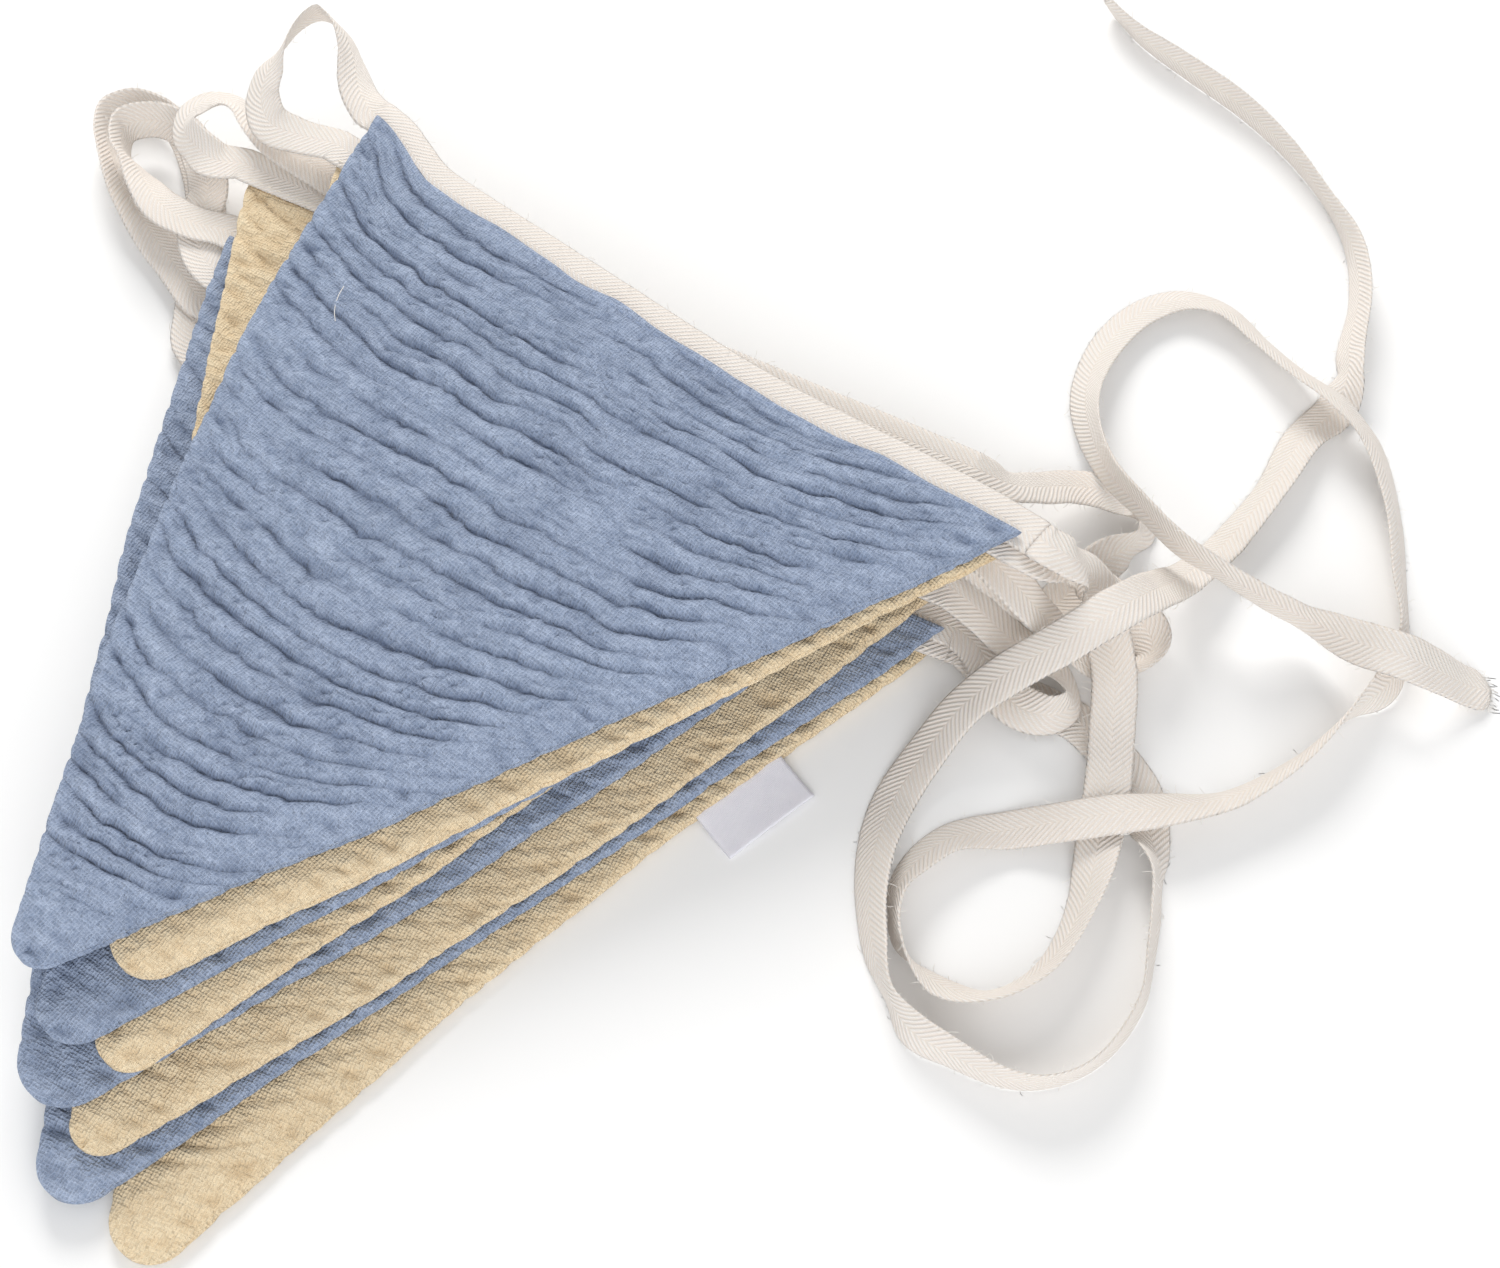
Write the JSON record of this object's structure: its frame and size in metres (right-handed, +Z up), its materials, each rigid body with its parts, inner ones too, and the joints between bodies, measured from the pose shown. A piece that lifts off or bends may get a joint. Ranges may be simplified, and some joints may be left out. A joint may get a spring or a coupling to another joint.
{
  "type": "fabric bunting",
  "caption": "Triangular crinkled gauze flags in two colours on a cotton tape, folded to and fro into a flat stack with tape loops and long free ties.",
  "frame": {"origin": "on the table under the middle of the folded stack and its tape loops, leaving out the two free ties", "axes": "+Z up from the table; +X along the top flag's heading, from its left corner to the corner the upper tie leaves; +Y from the flags' tips towards their headings"},
  "size_m": [0.3658, 0.3969, 0.0429],
  "materials": {
    "blue_gauze": "matt crinkled cotton double gauze, dusty blue",
    "cream_gauze": "matt crinkled cotton double gauze, cream yellow",
    "cotton_tape": "matt white cotton herringbone tape",
    "white_satin": "white satin ribbon, blank"
  },
  "bodies": {
    "root": {"flag_1_blue": "blue_gauze", "flag_2_cream": "cream_gauze", "flag_3_blue": "blue_gauze", "flag_4_cream": "cream_gauze", "flag_5_blue": "blue_gauze", "flag_6_cream": "cream_gauze", "flag_7_blue": "blue_gauze", "flag_8_cream": "cream_gauze", "heading_tape": "cotton_tape", "tie_upper": "cotton_tape", "tie_lower": "cotton_tape", "side_label": "white_satin"}
  },
  "joints": []
}
